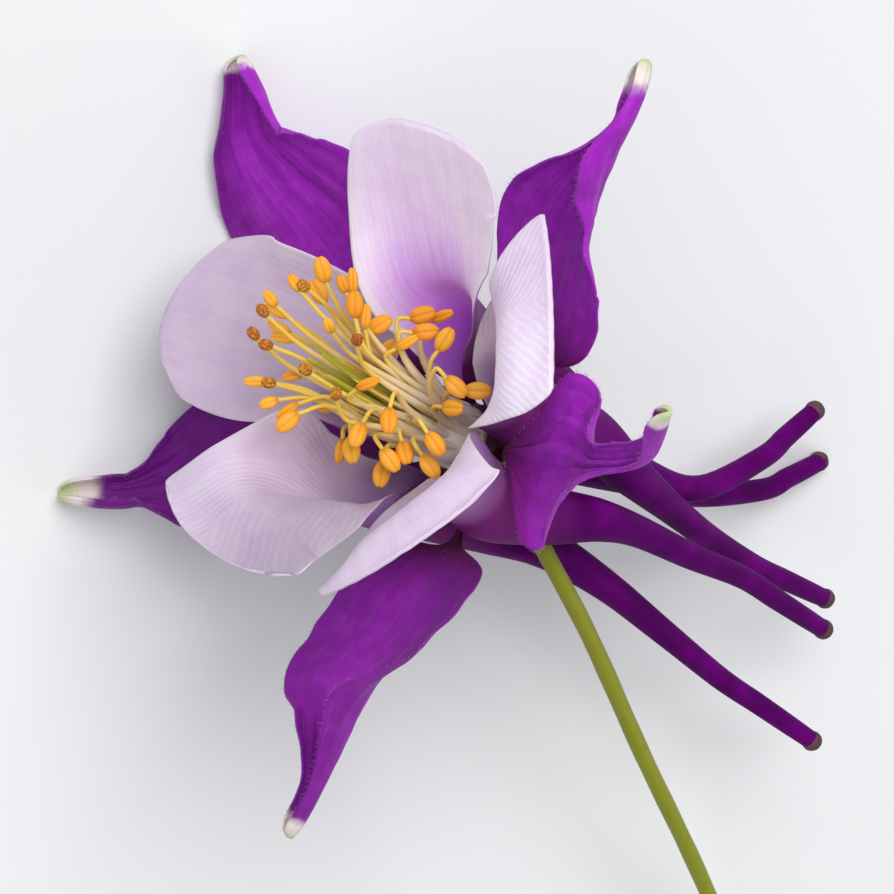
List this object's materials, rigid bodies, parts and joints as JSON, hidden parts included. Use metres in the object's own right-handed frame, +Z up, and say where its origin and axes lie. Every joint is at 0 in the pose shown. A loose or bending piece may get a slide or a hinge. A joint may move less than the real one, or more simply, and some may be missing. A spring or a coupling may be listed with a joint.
{
  "type": "columbine bloom",
  "caption": "Cut columbine bloom on its stalk, lying down: sepals with rolled tips, petals with long spurs, a bunch of stamens.",
  "frame": {"origin": "on the surface the bloom lies on, under the middle of its bounding box", "axes": "+Z up from the surface; the cut end of the stalk points towards -Y and +X, the open face towards -X and +Y, as it lies; +Y along the longest extent"},
  "size_m": [0.079, 0.1034, 0.0631],
  "materials": {
    "stem": "smooth green herb stalk with a soft sheen",
    "sepal": "velvety violet, finely ribbed, hairy margins, pale green tip",
    "petal": "matt pale lavender blade with fine veins, deep violet spur",
    "stamen": "pale yellow filaments, orange-yellow granular anthers",
    "pistil": "soft green, finely downy"
  },
  "bodies": {
    "root": {"stem": "stem", "sepal_1": "sepal", "sepal_2": "sepal", "sepal_3": "sepal", "sepal_4": "sepal", "sepal_5": "sepal", "petal_1": "petal", "petal_2": "petal", "petal_3": "petal", "petal_4": "petal", "petal_5": "petal", "stamens": "stamen", "pistils": "pistil"}
  },
  "joints": []
}
